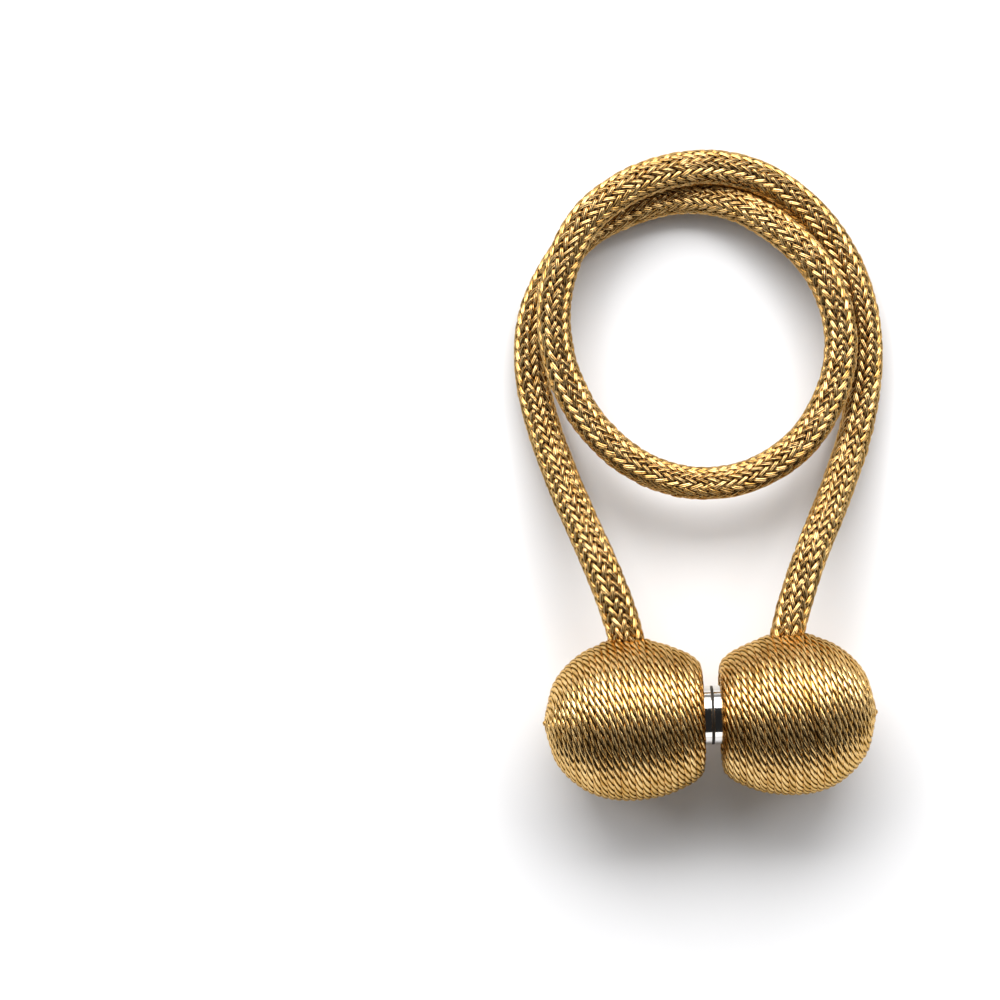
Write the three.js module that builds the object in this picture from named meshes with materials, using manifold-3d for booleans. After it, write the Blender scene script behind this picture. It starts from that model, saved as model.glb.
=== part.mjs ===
// A magnetic curtain tieback that lies on a table. A braided rope goes one and a half times round
// in a loop, and each of its ends is seated in a thread-wound ball. The two balls hold together
// by a disc magnet in the inner end of each.
// Units are millimetres. +X runs from the left ball to the right one, +Y along the legs of the
// rope to the top of the loop, and +Z up. The origin is on the table, under the magnets.
import * as THREE from "three";
import { mergeVertices } from "three/addons/utils/BufferGeometryUtils.js";
import Module from "manifold-3d";

// Driving dimensions
const ropeRadius = 3.75;
const ballLengths = { left: 35.6, right: 34.8 };
const ballRadius = 17.95;
const ballHeight = 17.6; // of a ball's axis over the table, less than its radius: the flat spot
const ballDrop = 0.55; // of a ball's axis towards -Y from its magnet's
const magnetRadius = 6.6;
const magnetProud = 1.9; // how far a magnet stands out of its ball
const seatDepth = 1.5; // of the recess that holds a magnet
const collarHeight = 0.7; // of the thread that climbs the rope where it enters a ball
const collarFoot = 5.0; // radius of that collar where it leaves the ball
const collarLip = 4.4; // and at its top
const collarRoot = 2.5; // how deep the collar is seated in the ball
const clearance = 0.3; // between two pieces that meet
const magnetChamfer = 0.4;

// The line of the two balls is turned a little on the table, about the origin
const lean = THREE.MathUtils.degToRad(2.0);

// Steps and sides of the round pieces
const ropeSteps = 80;
const ropeSides = 12;
const ballSides = 56;
const ballRings = 30;
const collarSides = 36;
const magnetSides = 40;

// The route of the rope's centre line, from inside the left ball to inside the right one
const ropeRoute = [
  // Left leg: level out of the ball, then down to the table
  [-18.2, 12.9, 17.5],
  [-20.3, 21.2, 17.4],
  [-24.0, 31.3, 16.3],
  [-28.9, 42.5, 12.6],
  [-33.7, 53.9, 8.4],
  [-37.7, 65.4, 5.1],
  [-40.1, 76.8, 3.95],
  // Up the left side and over the top, flat on the table
  [-39.6, 88.2, 3.85],
  [-35.4, 98.8, 3.85],
  [-28.4, 107.9, 3.85],
  [-17.4, 113.8, 3.85],
  [-6.1, 116.4, 3.9],
  // Down the right side, where it climbs onto the other leg
  [4.7, 115.0, 5.0],
  [14.4, 109.8, 7.1],
  [22.3, 102.6, 8.6],
  [27.4, 93.8, 9.2],
  [29.4, 82.8, 9.5],
  [27.1, 71.7, 10.3],
  // Along the bottom of the loop, which the two legs carry
  [19.8, 60.3, 11.8],
  [7.9, 53.1, 13.1],
  [-5.2, 51.9, 13.5],
  [-17.2, 56.2, 12.8],
  [-26.9, 65.0, 11.7],
  // Up the left side again and over the first round
  [-32.9, 76.0, 11.0],
  [-35.2, 87.9, 11.0],
  [-33.7, 99.3, 11.5],
  [-28.3, 110.4, 11.4],
  [-19.8, 117.5, 10.6],
  [-9.0, 121.8, 9.4],
  [1.8, 122.7, 8.0],
  // Down the right side and back to the table, under the first round
  [12.3, 120.0, 6.0],
  [21.9, 113.3, 4.6],
  [29.0, 104.5, 3.95],
  [33.6, 93.8, 3.85],
  [35.4, 81.4, 3.85],
  // Right leg: up from the table and level into the ball
  [33.6, 65.9, 4.9],
  [28.5, 50.5, 9.3],
  [22.1, 35.4, 14.9],
  [17.6, 21.6, 17.4],
  [15.9, 13.3, 17.5],
].map(([x, y, z]) => new THREE.Vector3(x, y, z));

// The ball's outline from the rim of its inner end to its tip: how far along the axis, as a
// share of the length, and how far out, as a share of the largest radius
const ballOutline = [
  { along: 0.0, out: 0.6 },
  { along: 0.012, out: 0.69 },
  { along: 0.06, out: 0.785 },
  { along: 0.13, out: 0.86 },
  { along: 0.25, out: 0.95 },
  { along: 0.36, out: 0.988 },
  { along: 0.46, out: 1.0 },
  { along: 0.57, out: 0.986 },
  { along: 0.68, out: 0.93 },
  { along: 0.78, out: 0.825 },
  { along: 0.875, out: 0.66 },
  { along: 0.94, out: 0.475 },
  { along: 0.975, out: 0.25 },
  { along: 0.995, out: 0.085 },
];

const goldBraid = new THREE.MeshStandardMaterial({
  name: "gold braid",
  color: 0xb8904e,
  roughness: 0.45,
});
const goldThread = new THREE.MeshStandardMaterial({
  name: "gold thread",
  color: 0xb08a4a,
  roughness: 0.4,
});
const nickel = new THREE.MeshStandardMaterial({
  name: "nickel plate",
  color: 0xc9c7c3,
  roughness: 0.15,
  metalness: 1,
});

const wasm = await Module();
wasm.setup();

// A closed geometry as a solid that can be joined and cut
function solidOf(geometry) {
  const bare = geometry.index ? geometry.toNonIndexed() : geometry.clone();
  bare.deleteAttribute("normal");
  bare.deleteAttribute("uv");
  const merged = mergeVertices(bare, 1e-4);
  return new wasm.Manifold(
    new wasm.Mesh({
      numProp: 3,
      vertProperties: merged.attributes.position.array,
      triVerts: new Uint32Array(merged.index.array),
    }),
  );
}

// A solid back as a geometry
function geometryOf(solid) {
  const { numProp, vertProperties, triVerts } = solid.getMesh();
  const corners = new THREE.InterleavedBuffer(vertProperties, numProp);
  const geometry = new THREE.BufferGeometry();
  geometry.setAttribute(
    "position",
    new THREE.InterleavedBufferAttribute(corners, 3, 0),
  );
  geometry.setIndex(new THREE.BufferAttribute(triVerts, 1));
  const flatShaded = geometry.toNonIndexed();
  flatShaded.computeVertexNormals();
  return flatShaded;
}

// A solid of revolution about +X, from an outline of points (along, out)
function turned(outline, sides) {
  const profile = outline.map(([along, out]) => new THREE.Vector2(out, along));
  return new THREE.LatheGeometry(profile, sides).rotateZ(-Math.PI / 2);
}

// A plain round bar about +X
function bar(radius, from, to, sides) {
  return turned(
    [
      [from, 0],
      [from, radius],
      [to, radius],
      [to, 0],
    ],
    sides,
  );
}

function ropeGeometry() {
  const section = new THREE.Shape();
  section.absarc(0, 0, ropeRadius, 0, 2 * Math.PI);
  return new THREE.ExtrudeGeometry(section, {
    extrudePath: new THREE.CatmullRomCurve3(ropeRoute),
    steps: ropeSteps,
    curveSegments: ropeSides,
    bevelEnabled: false,
  });
}

// A magnet about +X, its free face at x = clearance / 2
function magnetGeometry() {
  const face = clearance / 2;
  const back = magnetProud + seatDepth - clearance;
  return turned(
    [
      [face, 0],
      [face, magnetRadius - magnetChamfer],
      [face + magnetChamfer, magnetRadius],
      [back, magnetRadius],
      [back, 0],
    ],
    magnetSides,
  );
}

// A wound ball about +X, its inner end at x = magnetProud
function ballSolid(length) {
  const knots = ballOutline.map(
    ({ along, out }) => new THREE.Vector2(along * length, out * ballRadius),
  );
  const outline = new THREE.SplineCurve(knots)
    .getSpacedPoints(ballRings)
    .map(({ x, y }) => [magnetProud + x, y]);
  const start = [magnetProud, 0];
  const tip = [magnetProud + length, 0];
  return solidOf(turned([start, ...outline, tip], ballSides));
}

// The low, hollow-sided collar of thread about +X. The ball's surface is at x = 0
function collarSolid() {
  return solidOf(
    turned(
      [
        [-collarRoot, 0],
        [-collarRoot, collarFoot],
        [-collarHeight, collarFoot],
        [0, (collarFoot + 2 * collarLip) / 3],
        [collarHeight, collarLip],
        [collarHeight, 0],
      ],
      collarSides,
    ),
  );
}

// The matrix that takes the origin to a point, and +X to a way out from it
function placed(point, way) {
  const turn = new THREE.Quaternion().setFromUnitVectors(
    new THREE.Vector3(1, 0, 0),
    way,
  );
  return new THREE.Matrix4().compose(point, turn, new THREE.Vector3(1, 1, 1));
}

// One ball with its magnet. angle turns its axis from +X. The rope ends in it at the point last,
// and the next point of its route is outside
function half(side, angle, last, next) {
  const group = new THREE.Group();
  group.position.z = ballHeight;
  group.rotation.z = angle;
  group.updateMatrixWorld();
  const toGroup = group.matrixWorld.clone().invert();

  const ropeTip = last.clone().applyMatrix4(toGroup);
  const ropeWay = next.clone().applyMatrix4(toGroup).sub(ropeTip).normalize();
  const socket = solidOf(
    bar(ropeRadius + clearance, -clearance, 2 * ballRadius, collarSides),
  ).transform(placed(ropeTip, ropeWay).elements);

  // The collar stands square on the ball, where the rope's centre line leaves it
  const outward = new THREE.Vector3(0, Math.sign(ropeTip.y), 0);
  const surface = ballRadius - ballDrop;
  const sunk = (surface - Math.abs(ropeTip.y)) / ropeWay.dot(outward);
  const mouth = ropeTip.clone().addScaledVector(ropeWay, sunk);
  const collar = collarSolid().transform(placed(mouth, outward).elements);

  const seat = solidOf(
    bar(magnetRadius + clearance, 0, magnetProud + seatDepth, magnetSides),
  );
  const reach = 4 * ballRadius;
  const table = solidOf(
    new THREE.BoxGeometry(reach, reach, reach).translate(
      0,
      0,
      -ballHeight - reach / 2,
    ),
  );
  const drop = outward.clone().multiplyScalar(-ballDrop);
  const wound = ballSolid(ballLengths[side])
    .translate(drop.x, drop.y, drop.z)
    .add(collar)
    .subtract(socket)
    .subtract(seat)
    .subtract(table);

  const ball = new THREE.Mesh(geometryOf(wound), goldThread);
  ball.name = "ball_" + side;
  const magnet = new THREE.Mesh(magnetGeometry(), nickel);
  magnet.name = "magnet_" + side;
  group.add(ball, magnet);
  return group;
}

const rope = new THREE.Mesh(ropeGeometry(), goldBraid);
rope.name = "rope";

const tieback = new THREE.Group();
tieback.add(
  rope,
  half("left", Math.PI + lean, ropeRoute[0], ropeRoute[1]),
  half("right", lean, ropeRoute.at(-1), ropeRoute.at(-2)),
);

export default tieback;
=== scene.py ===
"""A gold magnetic curtain tieback on a white table, seen from straight above.

Everything is in metres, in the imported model's own frame: +X from the left ball to the right one,
+Y to the top of the rope's loop, +Z up, and the table at z = 0.
"""

import math

import bpy
import numpy as np
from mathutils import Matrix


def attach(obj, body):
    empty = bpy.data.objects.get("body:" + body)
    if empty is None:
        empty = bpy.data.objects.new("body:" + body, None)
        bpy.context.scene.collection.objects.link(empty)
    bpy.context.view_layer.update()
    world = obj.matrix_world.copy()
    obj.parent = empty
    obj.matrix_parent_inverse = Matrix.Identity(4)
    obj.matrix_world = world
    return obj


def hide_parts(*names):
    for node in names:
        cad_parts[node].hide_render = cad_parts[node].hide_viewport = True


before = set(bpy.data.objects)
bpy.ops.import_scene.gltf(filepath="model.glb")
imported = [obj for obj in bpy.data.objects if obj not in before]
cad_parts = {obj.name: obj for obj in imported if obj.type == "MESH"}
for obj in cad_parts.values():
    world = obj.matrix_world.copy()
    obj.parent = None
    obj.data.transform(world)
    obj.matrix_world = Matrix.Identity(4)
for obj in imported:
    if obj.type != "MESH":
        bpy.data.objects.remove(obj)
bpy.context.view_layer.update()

MM = 0.001
TURN = 2 * math.pi

# Camera: straight above, 1 m over the table
camera_place = (-0.047255, 0.047924, 1.0)
picture_width = 0.22687  # of the table that the picture shows
sensor_width = 36.0

# Rope
rope_route = [
    (-0.0182, 0.0129, 0.0175),
    (-0.0203, 0.0212, 0.0174),
    (-0.0240, 0.0313, 0.0163),
    (-0.0289, 0.0425, 0.0126),
    (-0.0337, 0.0539, 0.0084),
    (-0.0377, 0.0654, 0.0051),
    (-0.0401, 0.0768, 0.00395),
    (-0.0396, 0.0882, 0.00385),
    (-0.0354, 0.0988, 0.00385),
    (-0.0284, 0.1079, 0.00385),
    (-0.0174, 0.1138, 0.00385),
    (-0.0061, 0.1164, 0.0039),
    (0.0047, 0.1150, 0.0050),
    (0.0144, 0.1098, 0.0071),
    (0.0223, 0.1026, 0.0086),
    (0.0274, 0.0938, 0.0092),
    (0.0294, 0.0828, 0.0095),
    (0.0271, 0.0717, 0.0103),
    (0.0198, 0.0603, 0.0118),
    (0.0079, 0.0531, 0.0131),
    (-0.0052, 0.0519, 0.0135),
    (-0.0172, 0.0562, 0.0128),
    (-0.0269, 0.0650, 0.0117),
    (-0.0329, 0.0760, 0.0110),
    (-0.0352, 0.0879, 0.0110),
    (-0.0337, 0.0993, 0.0115),
    (-0.0283, 0.1104, 0.0114),
    (-0.0198, 0.1175, 0.0106),
    (-0.0090, 0.1218, 0.0094),
    (0.0018, 0.1227, 0.0080),
    (0.0123, 0.1200, 0.0060),
    (0.0219, 0.1133, 0.0046),
    (0.0290, 0.1045, 0.00395),
    (0.0336, 0.0938, 0.00385),
    (0.0354, 0.0814, 0.00385),
    (0.0336, 0.0659, 0.0049),
    (0.0285, 0.0505, 0.0093),
    (0.0221, 0.0354, 0.0149),
    (0.0176, 0.0216, 0.0174),
    (0.0159, 0.0133, 0.0175),
]
rope_length = 0.475
# The rope's outer radius at a share of its length: it is looser in some places than in others
rope_radii = [
    (0.00, 4.10 * MM),
    (0.06, 4.00 * MM),
    (0.14, 3.88 * MM),
    (0.30, 3.84 * MM),
    (0.42, 3.78 * MM),
    (0.50, 3.68 * MM),
    (0.60, 3.84 * MM),
    (0.68, 4.02 * MM),
    (0.78, 3.94 * MM),
    (0.88, 3.86 * MM),
    (1.00, 3.88 * MM),
]
braid_lead = 40.0 * MM  # of one carrier's way round the rope
braid_carriers = 16  # each way
braid_wave = 0.38 * MM  # of a carrier over and under the others
braid_flatness = 3.0  # of a carrier's top between two dives
float_reach = 0.25  # how much longer a carrier stays up than it stays down
float_sway = 0.18  # how much straighter a carrier runs over the others than under them
braid_steps = 820
# How far the whole braid is turned about the rope, in radians, how far that wanders, and the
# length of its waves
braid_turn = 0.35
braid_wander, wander_waves = 0.5, 180 * MM
# How much a carrier varies along its way, and the length of the waves: in height, angle in
# radians, and share of its width
height_variation, height_waves = 0.04 * MM, 9 * MM
angle_variation, angle_waves = 0.012, 14 * MM
width_variation, width_waves = 0.05, 11 * MM
tone_variation = 0.08  # from carrier to carrier
core_slack = 0.1 * MM  # between the rope's core and the lowest carriers
core_sides = 12
carrier_width = 1.2 * MM
carrier_pinch = 0.85  # of that width, where a carrier goes under
pinch_start = -0.6  # how far under it is, of 1 at most, where it is as narrow as that
# A carrier's section, three yarns side by side: across as a share of half its width, height,
# and tone, with painted shade in the grooves and at the edges and painted highlight on the crests
carrier_section = [
    (-1.0, -0.34 * MM, -1.2),
    (-0.80, 0.10 * MM, 0.1),
    (-0.52, 0.16 * MM, 0.12),
    (-0.33, 0.0 * MM, -0.7),
    (-0.15, 0.25 * MM, 0.15),
    (0.15, 0.25 * MM, 0.15),
    (0.33, 0.0 * MM, -0.7),
    (0.52, 0.16 * MM, 0.12),
    (0.80, 0.10 * MM, 0.1),
    (1.0, -0.34 * MM, -1.2),
]
dive_shade = 0.8  # how much darker a carrier is painted where it goes under the others, as painted shade
dive_start = 0.35  # the share of its lift below which that painted shade starts
thread_floor = 0.02 * MM  # no thread reaches lower than this over the table
groove_angle = math.radians(70)  # a groove between yarns that is sharper isn't smoothed over
crease_angle = math.radians(40)  # the same for the edges of the magnets

# Balls
ball_lengths = {"left": 35.6 * MM, "right": 34.8 * MM}
ball_radius = 17.95 * MM
ball_height = 17.6 * MM
ball_drop = 0.55 * MM  # of a ball's axis towards -Y from its magnet's
magnet_proud = 1.9 * MM
magnet_depth = 1.5 * MM
magnet_radius = 6.6 * MM
magnet_gap = 0.3 * MM
lean = math.radians(2.0)
disc_face = 0.26 * MM  # from the middle of the seam to a disc's face
disc_edge = 0.12 * MM  # radius of a disc's rounded edge
seam_start = 0.02 * MM  # from the middle of the seam to its dark plate, painted shade for the gap
seam_inset = 0.06 * MM  # of that plate inside the disc's rim
axis_radius = 0.05 * MM  # turned pieces start this far from their axis
# Along the ball's axis as a share of its length, and out as a share of its radius
ball_outline = [
    (0.0, 0.6),
    (0.012, 0.69),
    (0.06, 0.785),
    (0.13, 0.86),
    (0.25, 0.95),
    (0.36, 0.988),
    (0.46, 1.0),
    (0.57, 0.986),
    (0.68, 0.93),
    (0.78, 0.825),
    (0.875, 0.66),
    (0.94, 0.475),
    (0.975, 0.25),
    (0.995, 0.085),
]
cord_pitch = 1.63 * MM  # between neighbouring turns of the wound cord
cord_half_width = 1.0 * MM
cord_half_height = 0.72 * MM
cord_starts = 3  # cords that are wound side by side
cord_plies = 4
ply_crests = 38.36  # in one turn round the ball at its widest, so that neighbours line up
cord_step = 0.5 * MM
# How far a cord wanders to either side of its place, and its plies' twist in radians, with the
# length of their waves in radians round the ball
cord_wander, cord_waves = 0.05 * MM, 5.0
ply_wander, ply_waves = 0.08, 2.0
cord_tone_variation, cord_tone_waves = 0.05, 25 * MM
turn_steps = 300
tip_radius = 0.15 * MM  # no closer to the axis comes the middle of a cord
# A ply's section: angle from its crest in degrees, distance from the cord's middle as a share
# of the cord's half width, and tone, lighter on the crest as painted highlight and darker in the
# groove as painted shade. The last point is the groove before the next ply
ply_section = [
    (-26.0, 0.93, 0.05),
    (0.0, 1.0, 0.15),
    (26.0, 0.93, 0.05),
    (45.0, 0.64, -0.9),
]
nub_radius = 0.7 * MM  # of the thread's end at a ball's tip
nub_sunk = 0.4 * MM  # how far the middle of that end is inside the tip
mouth_rise = 0.6 * MM  # of the cords where the rope comes out of a ball
mouth_width = 1.4 * MM
mouth_parting = 0.1 * MM  # how far the cords beside the rope are moved away from it
parting_reach = 2 * MM
mouth_overlap = 0.5 * MM  # a cord dives where it is farther inside the rope than this
dive_depth = 4 * MM
dive_edge = 0.15 * MM  # over which a cord goes down to that depth
body_depth = 1.2  # of the body under the cords, near black as painted shade, in half heights of a cord
body_floor = 0.1 * MM  # no part of that body reaches lower than this over the table
magnet_play = 0.2 * MM  # between a magnet and the first cord
body_sides = 96
disc_sides = 160
seam_sides = 80

map_length = 10 * MM  # of thread for one unit of its texture
knot_steps = 40  # of a curve between two of its knots, before it is spaced evenly
loop_middle = 0.05  # the Y of the point that the lights face
seed = np.random.default_rng(11)


def smooth_noise(at, wave, count=6):
    """Random smooth values of about unit size along a line, with waves of about that length."""
    total = np.zeros(len(at))
    for _ in range(count):
        length = wave * seed.uniform(0.6, 1.8)
        total += np.sin(TURN * (at / length + seed.uniform()))
    return total / math.sqrt(count / 2)


def unit(v):
    return v / np.linalg.norm(v, axis=-1, keepdims=True)


def lengths_along(line):
    """How far along a line each of its points is."""
    return np.r_[0, np.cumsum(np.linalg.norm(np.diff(line, axis=0), axis=1))]


def resampled(at, far, values):
    """Values known at places far, read at the places at."""
    return np.stack([np.interp(at, far, column) for column in values.T], axis=1)


def spaced(line, steps):
    """The same line as evenly spaced points."""
    far = lengths_along(line)
    return resampled(np.linspace(0, far[-1], steps), far, line)


def catmull_rom(points, steps):
    """A centripetal Catmull-Rom curve through points, as evenly spaced points."""
    p = np.vstack([2 * points[0] - points[1], points, 2 * points[-1] - points[-2]])
    fine = []
    share = np.linspace(0, 1, knot_steps, endpoint=False)[:, None]
    for a, b, c, d in zip(p, p[1:], p[2:], p[3:]):
        knots = np.cumsum(
            [0] + [math.sqrt(np.linalg.norm(v)) for v in (b - a, c - b, d - c)]
        )
        t = knots[1] + share * (knots[2] - knots[1])

        def between(u, v, i, j):
            return (u * (knots[j] - t) + v * (t - knots[i])) / (knots[j] - knots[i])

        first = between(between(a, b, 0, 1), between(b, c, 1, 2), 0, 2)
        second = between(between(b, c, 1, 2), between(c, d, 2, 3), 1, 3)
        fine.append(between(first, second, 1, 2))
    return spaced(np.vstack([*fine, points[-1:]]), steps)


def carried_frames(line):
    """For each point of a line two normals, carried along without twist."""
    tangent = unit(np.gradient(line, axis=0))
    side = unit(np.cross(tangent[0], (0.0, 0.0, 1.0)))
    sides = []
    for t in tangent:
        side = unit(side - t * side.dot(t))
        sides.append(side)
    sides = np.array(sides)
    return sides, np.cross(sides, tangent)


def swept(line, outward, section):
    """A section, (across, out) at each point, swept along a line. outward is the way it faces."""
    tangent = unit(np.gradient(line, axis=0))
    across = unit(np.cross(tangent, outward))
    out = np.cross(across, tangent)
    section = np.broadcast_to(section, (len(line), *np.shape(section)[-2:]))
    return (
        line[:, None]
        + across[:, None] * section[..., :1]
        + out[:, None] * section[..., 1:]
    )


def turned(middle, axes, outline, sides):
    """A closed grid of points round a ball's axis, from an outline of points (along, out)."""
    rounds = -TURN * np.arange(sides) / sides
    ring = np.cos(rounds)[:, None] * axes[1] + np.sin(rounds)[:, None] * axes[2]
    return middle + outline[:, None, :1] * axes[0] + outline[:, None, 1:] * ring[None]


def tube_faces(rings, sides):
    """Four-sided faces round a tube of rings, as indices."""
    ring, side = np.meshgrid(np.arange(rings - 1), np.arange(sides), indexing="ij")
    following = (side + 1) % sides
    quads = [
        ring * sides + side,
        ring * sides + following,
        (ring + 1) * sides + following,
        (ring + 1) * sides + side,
    ]
    return np.stack(quads, axis=-1).reshape(-1, 4)


def tube_map(rings, sides, length):
    """Texture places for tube_faces: once round in u, and the length in map lengths in v."""
    ring, side = np.meshgrid(np.arange(rings - 1), np.arange(sides), indexing="ij")
    u = np.stack([side, side + 1, side + 1, side], axis=-1) / sides
    v = np.stack([ring, ring, ring + 1, ring + 1], axis=-1) / (rings - 1)
    return np.stack([u, v * length / map_length], axis=-1).reshape(-1, 2)


def tubes_object(name, tubes, material, tones_and_painted_light=(0.0,)):
    """One object of several closed tubes, each an array (rings, sides, 3) with its own colour
    values, painted shade and highlight among them.
    """
    points, quads, places, caps, tone_and_painted_light = [], [], [], [], []
    first = 0
    for grid, shade in zip(tubes, tones_and_painted_light):
        rings, sides, _ = grid.shape
        points.append(grid.reshape(-1, 3))
        quads.append(tube_faces(rings, sides) + first)
        places.append(tube_map(rings, sides, lengths_along(grid.mean(axis=1))[-1]))
        last = first + (rings - 1) * sides
        caps.append(np.arange(first + sides - 1, first - 1, -1))
        caps.append(np.arange(last, last + sides))
        tone_and_painted_light.append(np.broadcast_to(shade, (rings, sides)).ravel())
        first += rings * sides
    points, quads = np.vstack(points), np.vstack(quads)
    corners = np.concatenate([quads.ravel(), *caps]).astype(np.int32)
    sizes = np.r_[np.full(len(quads), 4), [len(c) for c in caps]]
    places = np.vstack([*places, np.zeros((sum(len(c) for c in caps), 2))])

    mesh = bpy.data.meshes.new(name)
    mesh.vertices.add(len(points))
    mesh.vertices.foreach_set("co", points.astype(np.float32).ravel())
    mesh.loops.add(len(corners))
    mesh.loops.foreach_set("vertex_index", corners)
    mesh.polygons.add(len(sizes))
    starts = np.r_[0, np.cumsum(sizes)[:-1]].astype(np.int32)
    mesh.polygons.foreach_set("loop_start", starts)
    mesh.polygons.foreach_set("use_smooth", np.ones(len(sizes), bool))
    mesh.update(calc_edges=True)
    thread_map = mesh.uv_layers.new(name="thread")
    thread_map.uv.foreach_set("vector", places.astype(np.float32).ravel())
    # colour values per point: painted shade and painted highlight, plus random tone
    shades = mesh.attributes.new("tone_and_painted_light", "FLOAT", "POINT")
    shades.data.foreach_set("value", np.concatenate(tone_and_painted_light).astype(np.float32))
    mesh.validate()
    mesh.materials.append(material)
    made = bpy.data.objects.new(name, mesh)
    bpy.context.scene.collection.objects.link(made)
    return made


def new_material(name, roughness, metallic):
    material = bpy.data.materials.new(name)
    material.use_nodes = True
    skin = material.node_tree.nodes["Principled BSDF"]
    skin.inputs["Roughness"].default_value = roughness
    skin.inputs["Metallic"].default_value = metallic
    return material, skin


def plain_material(name, colour, roughness, metallic=0.0):
    material, skin = new_material(name, roughness, metallic)
    skin.inputs["Base Color"].default_value = (*colour, 1)
    return material


def node(tree, kind, inputs=(), **settings):
    made = tree.nodes.new(kind)
    for key, value in settings.items():
        setattr(made, key, value)
    for key, value in dict(inputs).items():
        if isinstance(value, bpy.types.NodeSocket):
            tree.links.new(value, made.inputs[key])
        else:
            made.inputs[key].default_value = value
    return made


def thread_material(name, shaded, dark, light, roughness, filaments):
    """Silky metallic thread: fine filaments along the yarn, and painted shade in the grooves and
    painted highlight on the crests.
    """
    material, skin = new_material(name, roughness, 1.0)
    skin.inputs["Specular Tint"].default_value = (*rim_gold, 1)
    tree = material.node_tree
    place = node(tree, "ShaderNodeUVMap", uv_map="thread").outputs["UV"]
    stretched = node(
        tree,
        "ShaderNodeMapping",
        {"Vector": place, "Scale": (filaments, 3.0, 1.0)},
    ).outputs["Vector"]
    fibre = node(
        tree,
        "ShaderNodeTexNoise",
        {"Vector": stretched, "Scale": 1.0, "Detail": 3.0, "Roughness": 0.6},
    ).outputs["Fac"]
    tone_and_painted_light = node(tree, "ShaderNodeAttribute", attribute_name="tone_and_painted_light").outputs["Fac"]
    mixed = node(tree, "ShaderNodeMath", {0: fibre, 1: tone_and_painted_light}, operation="ADD")
    ramp = node(tree, "ShaderNodeValToRGB", {"Fac": mixed.outputs[0]})
    ramp.color_ramp.elements.new(0.5)
    for stop, position, colour in zip(
        ramp.color_ramp.elements, (0.0, 0.36, 0.72), (shaded, dark, light)
    ):
        stop.position = position
        stop.color = (*colour, 1)
    tree.links.new(ramp.outputs["Color"], skin.inputs["Base Color"])
    bump = node(
        tree,
        "ShaderNodeBump",
        {"Height": fibre, "Strength": 0.7, "Distance": 0.1 * MM},
    )
    tree.links.new(bump.outputs["Normal"], skin.inputs["Normal"])
    return material


# the colour that painted shade takes the thread to, in the grooves and where carriers dive
gold_in_shade = (0.06, 0.024, 0.003)
rim_gold = (0.92, 0.78, 0.52)  # of thread that is seen edge on
gold_braid = thread_material(
    "gold_braid", gold_in_shade, (0.46, 0.238, 0.05), (0.87, 0.61, 0.275), 0.26, 9.0
)
gold_thread = thread_material(
    "gold_thread", gold_in_shade, (0.47, 0.245, 0.055), (0.87, 0.61, 0.28), 0.25, 14.0
)
# near black under the threads: painted shade for what shows between them
under_thread_shade = plain_material("under_thread_shade", (0.05, 0.028, 0.008), 0.7)
nickel = plain_material("nickel", (0.80, 0.78, 0.75), 0.09, 1.0)
# dark plate between the discs: painted shade for the gap
seam_shade = plain_material("seam_shade", (0.02, 0.014, 0.008), 0.6)
table_white = plain_material("table_white", (0.86, 0.86, 0.87), 0.9)

# Camera
lens = bpy.data.cameras.new("camera")
lens.sensor_width = sensor_width
lens.lens = sensor_width * camera_place[2] / picture_width
camera = bpy.data.objects.new("camera", lens)
camera.location = camera_place
bpy.context.scene.collection.objects.link(camera)
bpy.context.scene.camera = camera

# Rope: a plain core, near black as painted shade between the carriers, and the braid of the
# carriers that go round it both ways
centre = catmull_rom(np.array(rope_route), braid_steps)
along = np.linspace(0, rope_length, braid_steps)
side, up = carried_frames(centre)
radius = np.interp(along / rope_length, *np.array(rope_radii).T)
crest = max(height for _, height, _ in carrier_section)
braid_radius = radius - braid_wave - crest
twist = braid_turn + braid_wander * smooth_noise(along, wander_waves)


def carriers(direction, first):
    """Every second one of the carriers that go round one way, each with its colour values, which
    hold painted shade and highlight.
    """
    made = []
    for k in range(first, braid_carriers, 2):
        angle = TURN * (k / braid_carriers + direction * along / braid_lead)
        phase = braid_carriers * angle / 2 - math.pi / 4
        over = direction * np.cos(phase)
        lift = np.tanh(braid_flatness * (over + float_reach))
        uneven = height_variation * smooth_noise(along, height_waves)
        sway = -float_sway * 2 / braid_carriers * direction * np.sin(phase)
        sway = sway + angle_variation * smooth_noise(along, angle_waves)
        out = (braid_radius + braid_wave * lift + uneven)[:, None]
        turn = (angle + twist + sway)[:, None]
        way = np.cos(turn) * side + np.sin(turn) * up
        pinch = np.interp(over, (pinch_start, 0), (carrier_pinch, 1))
        half_width = carrier_width / 2 * pinch
        half_width = half_width * (1 + width_variation * smooth_noise(along, width_waves))
        across, height, tone_and_painted_light = np.array(carrier_section).T
        section = np.stack(
            np.broadcast_arrays(across * half_width[:, None], height), axis=-1
        )
        grid = swept(centre + out * way, way, section)
        grid[..., 2] = np.maximum(grid[..., 2], thread_floor)
        # painted shade where the carrier dives under the others
        shade = dive_shade * np.clip(dive_start - lift, 0, 1)[:, None]
        tone_and_painted_light = tone_and_painted_light + seed.uniform(-tone_variation, tone_variation) - shade
        made.append((grid, tone_and_painted_light))
    return zip(*made)


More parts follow.
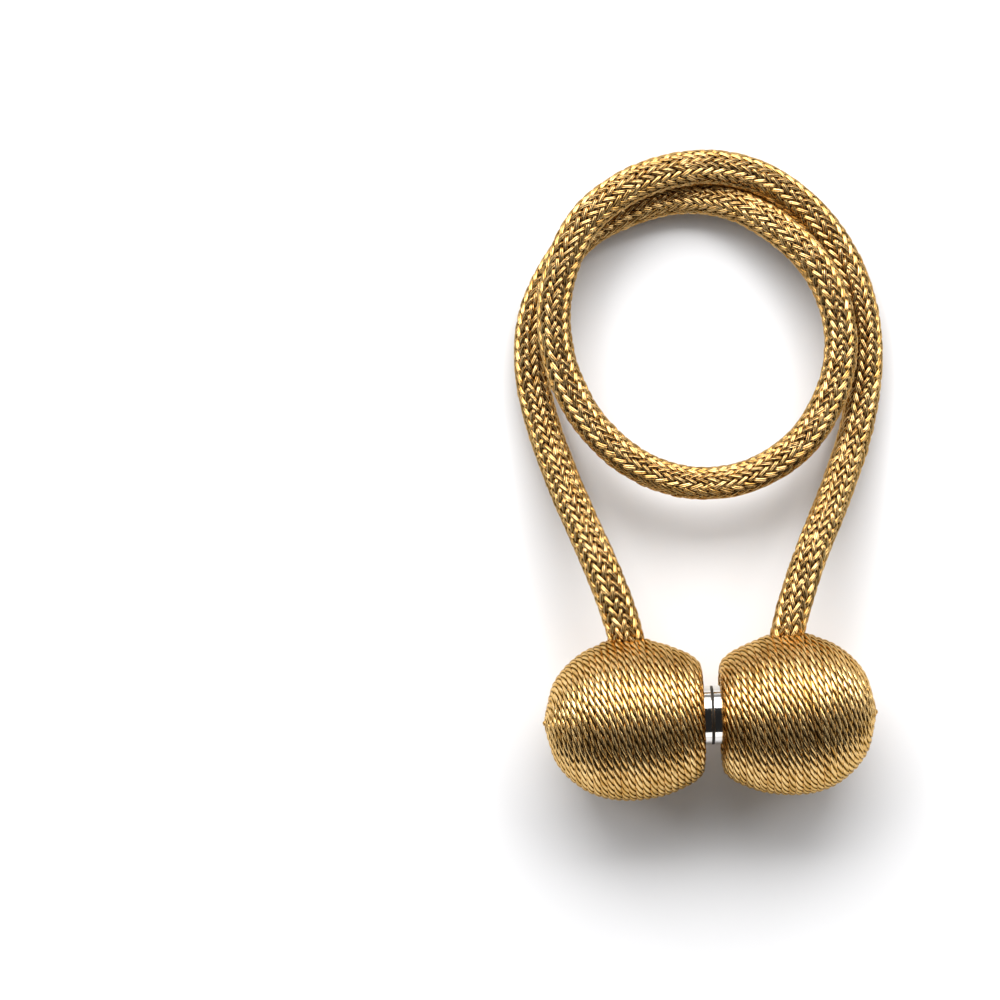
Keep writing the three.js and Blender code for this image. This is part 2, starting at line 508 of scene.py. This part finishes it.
core_angles = TURN * np.arange(core_sides) / core_sides
core_section = np.stack([np.sin(core_angles), np.cos(core_angles)], axis=1)
core_radius = (braid_radius - braid_wave - core_slack)[:, None, None]
rope_core = tubes_object(
    "rope_core", [swept(centre, up, core_radius * core_section)[::5]], under_thread_shade
)
braid = []
for name, direction in (("braid_right_hand", 1), ("braid_left_hand", -1)):
    for first in (0, 1):
        grids, tones_and_painted_light = carriers(direction, first)
        piece = tubes_object(f"{name}_{first + 1}", grids, gold_braid, tones_and_painted_light)
        piece.data.set_sharp_from_angle(angle=groove_angle)
        braid.append(piece)
for piece in (rope_core, *braid):
    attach(piece, "root")
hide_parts("rope")


def ball_axes(angle):
    """A ball's own axes: along its axis, level across it, and up."""
    axis = np.array([math.cos(angle), math.sin(angle), 0.0])
    return np.stack([axis, np.cross((0.0, 0.0, 1.0), axis), (0.0, 0.0, 1.0)])


def wound_outline(length):
    """The ball's outline from the magnet's rim to its tip, as evenly spaced (along, out)."""
    knots = [(a * length + magnet_proud, o * ball_radius, 0) for a, o in ball_outline]
    rim = (magnet_proud, magnet_radius + magnet_play, 0)
    tip = (magnet_proud + length, 0, 0)
    curve = catmull_rom(np.array(knots), 400)
    return spaced(np.vstack([rim, curve, tip]), 600)[:, :2]


def round_mouth(points, outward, rope_end, rope_way):
    """Cords rise in a low collar round the rope, and those that meet it dive beside it."""
    off = points - rope_end
    far = off @ rope_way
    beside = off - far[:, None] * rope_way
    distance = np.linalg.norm(beside, axis=1)
    rim = radius[0]
    near = 1 / (1 + np.exp(-far / MM))
    parted = near * mouth_parting * np.exp(-np.abs(distance - rim) / parting_reach)
    rise = mouth_rise * np.exp(-((np.maximum(distance - rim, 0) / mouth_width) ** 2))
    dive = dive_depth / (1 + np.exp((distance - rim + mouth_overlap) / dive_edge))
    return (
        points
        + unit(beside) * parted[:, None]
        + outward * (near * (rise - dive))[:, None]
    )


def ply_twist(outline, far):
    """How far the plies are twisted, by how far along the outline a cord lies.

    Towards the ball's ends the crests get fewer in steps of three, so that cords that are wound
    three side by side still have their plies in line.
    """
    smaller = 1 - outline[:, 1] / (ball_radius - cord_half_height)
    crests = ply_crests - 3 * np.round(ply_crests * smaller / 3)
    wound = TURN * far / (cord_starts * cord_pitch)
    return np.cumsum(crests * np.gradient(wound)) / cord_plies


def ply_sections(twist):
    """The section of the cord of twisted plies at each twist, as (across, out)."""
    angles, shares, _ = np.array(ply_section).T
    part = TURN / cord_plies
    turn = np.concatenate([k * part + np.radians(angles) for k in range(cord_plies)])
    turn = turn[None] - twist[:, None]
    shape = np.stack([np.sin(turn), np.cos(turn)], axis=-1)
    size = (cord_half_width, cord_half_height)
    return shape * np.tile(shares, cord_plies)[None, :, None] * size


def wound_cord(outline, start, middle, axes, rope_end, rope_way):
    """One cord wound round the ball, from its inner rim to its tip."""
    normal = unit(np.gradient(outline, axis=0)) @ np.array([[0.0, 1.0], [-1.0, 0.0]])
    far = lengths_along(outline)
    turns = (far[-1] / cord_pitch - start) / cord_starts
    turn = np.linspace(0, TURN * turns, int(turns * turn_steps))
    at = (turn / TURN * cord_starts + start) * cord_pitch
    at = at + cord_wander * smooth_noise(turn, cord_waves)
    at = np.clip(at, 0, far[-1])
    place, facing = resampled(at, far, outline), resampled(at, far, normal)
    place = place - cord_half_height * facing
    place[:, 1] = np.maximum(place[:, 1], tip_radius)
    spoke = np.cos(turn)[:, None] * axes[1] + np.sin(turn)[:, None] * axes[2]
    points = middle + place[:, :1] * axes[0] + place[:, 1:] * spoke
    outward = unit(facing[:, :1] * axes[0] + facing[:, 1:] * spoke)
    points = round_mouth(points, outward, rope_end, rope_way)
    share = lengths_along(points)
    even = np.linspace(0, share[-1], int(share[-1] / cord_step))
    points, outward = resampled(even, share, points), resampled(even, share, outward)
    twist = np.interp(at, far, ply_twist(outline, far))
    twist = twist + ply_wander * smooth_noise(turn, ply_waves)
    sections = ply_sections(np.interp(even, share, twist))
    grid = swept(points, unit(outward), sections)
    # painted highlight on the ply crests and painted shade in the grooves
    groove = np.tile([tone_and_painted_light for _, _, tone_and_painted_light in ply_section], cord_plies)
    uneven = cord_tone_variation * smooth_noise(even, cord_tone_waves)
    tone_and_painted_light = groove + uneven[:, None]
    return grid, tone_and_painted_light


def wound_ball(name, angle, rope_end, rope_next):
    """The ball's wound cords, and the body under them, near black as painted shade between the
    cords.
    """
    axes = ball_axes(angle)
    middle = np.array([0.0, -ball_drop, ball_height])
    outline = wound_outline(ball_lengths[name])
    rope_way = unit(rope_next - rope_end)
    grids, tones_and_painted_light = zip(
        *(
            wound_cord(outline, start, middle, axes, rope_end, rope_way)
            for start in range(cord_starts)
        )
    )
    for grid in grids:
        grid[..., 2] = np.maximum(grid[..., 2], thread_floor)
    bend = np.linspace(0.1, math.pi - 0.1, 9)
    nub = nub_radius * np.stack([-np.cos(bend), np.sin(bend)], axis=1)
    nub[:, 0] += magnet_proud + ball_lengths[name] - nub_sunk
    grids = [*grids, turned(middle, axes, nub, 16)]
    cords = tubes_object("wound_" + name, grids, gold_thread, [*tones_and_painted_light, 0.0])
    cords.data.set_sharp_from_angle(angle=groove_angle)

    normal = unit(np.gradient(outline, axis=0)) @ np.array([[0.0, 1.0], [-1.0, 0.0]])
    under = outline - body_depth * cord_half_height * normal
    under[:, 1] = np.maximum(under[:, 1], axis_radius)
    shell = turned(middle, axes, under[::8], body_sides)
    shell[..., 2] = np.maximum(shell[..., 2], body_floor)
    return cords, tubes_object("under_" + name, [shell], under_thread_shade)


def magnet(name, angle):
    """A bright disc with narrow rounded edges, and a dark plate in the seam where it meets the
    other one, painted shade for the gap between them.
    """
    back = magnet_proud + magnet_depth - magnet_gap
    bend = np.linspace(0, math.pi / 2, 7)
    rounded = np.stack(
        [
            disc_face + disc_edge * (1 - np.cos(bend)),
            magnet_radius - disc_edge * (1 - np.sin(bend)),
        ],
        axis=1,
    )
    start = (disc_face, axis_radius)
    outline = np.vstack([start, rounded, (back, magnet_radius), (back, axis_radius)])
    inner = magnet_radius - seam_inset
    plate_back = disc_face + disc_edge
    plate = np.array(
        [
            (seam_start, axis_radius),
            (seam_start, inner),
            (plate_back, inner),
            (plate_back, axis_radius),
        ]
    )
    middle = np.array([0.0, 0.0, ball_height])
    axes = ball_axes(angle)
    disc = turned(middle, axes, outline, disc_sides)
    disc = tubes_object("disc_" + name, [disc], nickel)
    seam = turned(middle, axes, plate, seam_sides)
    seam = tubes_object("seam_" + name, [seam], seam_shade)
    for made in (disc, seam):
        made.data.set_sharp_from_angle(angle=crease_angle)
    return disc, seam


for name, angle, rope_end, rope_next in (
    ("left", math.pi + lean, rope_route[0], rope_route[1]),
    ("right", lean, rope_route[-1], rope_route[-2]),
):
    cords, under = wound_ball(name, angle, np.array(rope_end), np.array(rope_next))
    for piece in (cords, under):
        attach(piece, "root")
    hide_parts("ball_" + name)
    disc, seam = magnet(name, angle)
    for piece in (disc, seam):
        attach(piece, "root")
    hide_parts("magnet_" + name)

# Table
bpy.ops.mesh.primitive_plane_add(size=12, location=(0, 0, 0))
table = bpy.context.object
table.name = "table"
table.data.materials.append(table_white)


# Lights
def panel(name, azimuth, elevation, distance, width, height, power):
    """A soft panel that faces the loop, at degrees from +X and at degrees up."""
    light = bpy.data.lights.new(name, "AREA")
    light.shape = "RECTANGLE"
    light.size, light.size_y = width, height
    light.energy = power
    made = bpy.data.objects.new(name, light)
    turn, rise = math.radians(azimuth), math.radians(elevation)
    made.location = (
        distance * math.cos(rise) * math.cos(turn),
        distance * math.cos(rise) * math.sin(turn) + loop_middle,
        distance * math.sin(rise),
    )
    made.rotation_euler = (math.pi / 2 - rise, 0, turn + math.pi / 2)
    bpy.context.scene.collection.objects.link(made)
    return made


panel("key", 93, 44, 2.5, 2.6, 1.4, 92)
panel("skirt", 93, 21, 2.5, 2.6, 0.6, 9)
panel("key_left", 148, 42, 2.5, 1.4, 1.5, 20)
panel("key_right", 36, 42, 2.5, 1.4, 1.5, 20)
panel("fill_left", 200, 45, 2.5, 1.6, 1.6, 4)
panel("fill_right", -20, 45, 2.5, 1.6, 1.6, 4)
panel("wall", 90, 6, 2.6, 3.0, 0.5, 1.5)
panel("card", -90, 10.5, 2.5, 3.0, 0.93, 14)
world = bpy.data.worlds.new("studio")
world.use_nodes = True
world.node_tree.nodes["Background"].inputs["Color"].default_value = (1, 1, 1, 1)
world.node_tree.nodes["Background"].inputs["Strength"].default_value = 0.02
bpy.context.scene.world = world
bpy.context.scene.view_settings.view_transform = "Standard"
